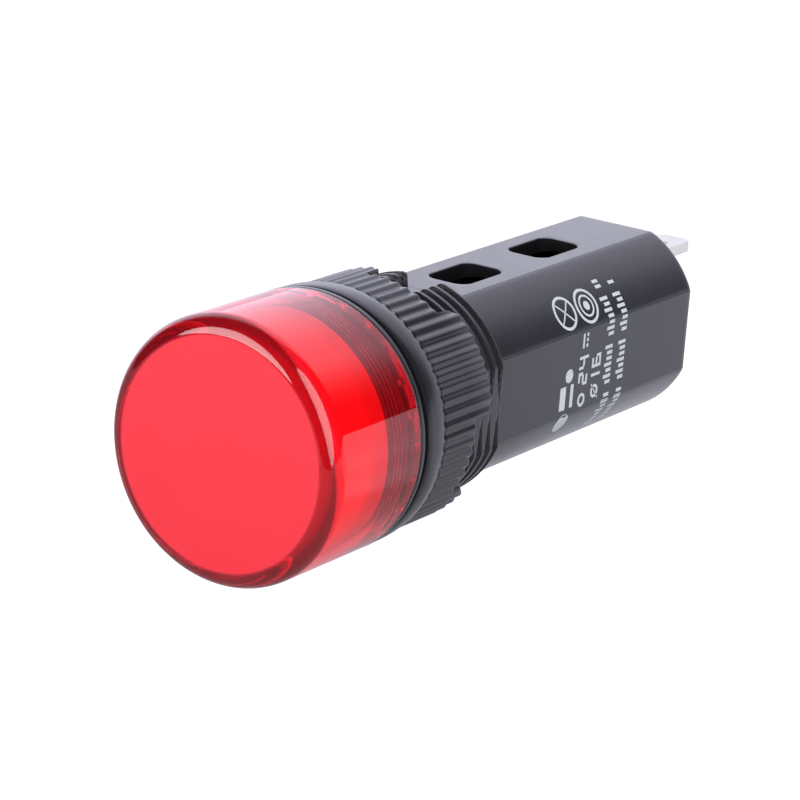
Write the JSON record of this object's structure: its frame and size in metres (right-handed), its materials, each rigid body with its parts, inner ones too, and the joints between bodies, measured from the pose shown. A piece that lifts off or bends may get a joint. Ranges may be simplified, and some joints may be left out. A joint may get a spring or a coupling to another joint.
{
  "type": "panel pilot light",
  "caption": "Round panel pilot light with a screw-on clear red lens over a milky diffuser, a threaded barrel with a ribbed castellated nut, and two blade terminals.",
  "frame": {"origin": "middle of the plane where the panel's front face lies, on the rear face of the gasket and on the lamp's axis", "axes": "+Y along the lamp's axis from the lens to the blade terminals, +Z out of the flat with the two windows, +X to the right seen from the lens's side"},
  "size_m": [0.0181, 0.0586, 0.018],
  "materials": {
    "clear_red_lens": "polished clear red moulding",
    "milky_diffuser": "milky red satin moulding",
    "black_housing": "fine satin moulded black",
    "black_rubber": "soft matt",
    "black_nut": "satin moulded black",
    "white_board": "white solder mask",
    "red_lamp_epoxy": "cast epoxy",
    "tinned_wire": "tinned",
    "green_board": "green solder mask",
    "gold_pins": "plated",
    "resistor_lacquer": "lacquered",
    "capacitor_sleeve": "shrunk sleeve",
    "black_epoxy": "moulded epoxy",
    "diode_glass": "glass body",
    "tinned_blade": "bright tin plate",
    "red_insulation": "extruded insulation",
    "solder": "bright solder"
  },
  "bodies": {
    "lamp_body": {"housing": "black_housing", "led_board": "white_board", "leds": "red_lamp_epoxy", "led_leads": "tinned_wire", "driver_board": "green_board", "link_pins": "gold_pins", "resistors": "resistor_lacquer", "resistor_leads": "tinned_wire", "capacitor": "capacitor_sleeve", "capacitor_leads": "tinned_wire", "bridge_rectifier": "black_epoxy", "rectifier_legs": "tinned_wire", "zener_diode": "diode_glass", "chip_resistors": "black_epoxy", "rear_base": "black_housing", "terminal_upper": "tinned_blade", "terminal_lower": "tinned_blade", "feed_wires": "red_insulation", "solder_joints": "solder"},
    "diffuser_body": {"diffuser": "milky_diffuser"},
    "lens_body": {"lens_cap": "clear_red_lens"},
    "gasket_body": {"panel_gasket": "black_rubber"},
    "nut_body": {"nut": "black_nut"}
  },
  "joints": [
    {"name": "lens_turn", "type": "hinge", "parent": "lamp_body", "child": "diffuser_body", "pos_m": [0, 0, 0], "axis": [0, -1, 0], "range_deg": [0, 1440]},
    {"name": "lens_advance", "type": "slide", "parent": "diffuser_body", "child": "lens_body", "axis": [0, -1, 0], "range_m": [0, 0.0016]},
    {"name": "nut_turn", "type": "hinge", "parent": "lamp_body", "child": "gasket_body", "pos_m": [0, 0, 0], "axis": [0, 1, 0], "range_deg": [0, 3960]},
    {"name": "nut_advance", "type": "slide", "parent": "gasket_body", "child": "nut_body", "axis": [0, 1, 0], "range_m": [0, 0.011]}
  ],
  "couplings": [
    {"joint": "lens_turn", "follows": "lens_advance", "rad_per_m": 15708},
    {"joint": "nut_turn", "follows": "nut_advance", "rad_per_m": 6283.2}
  ]
}
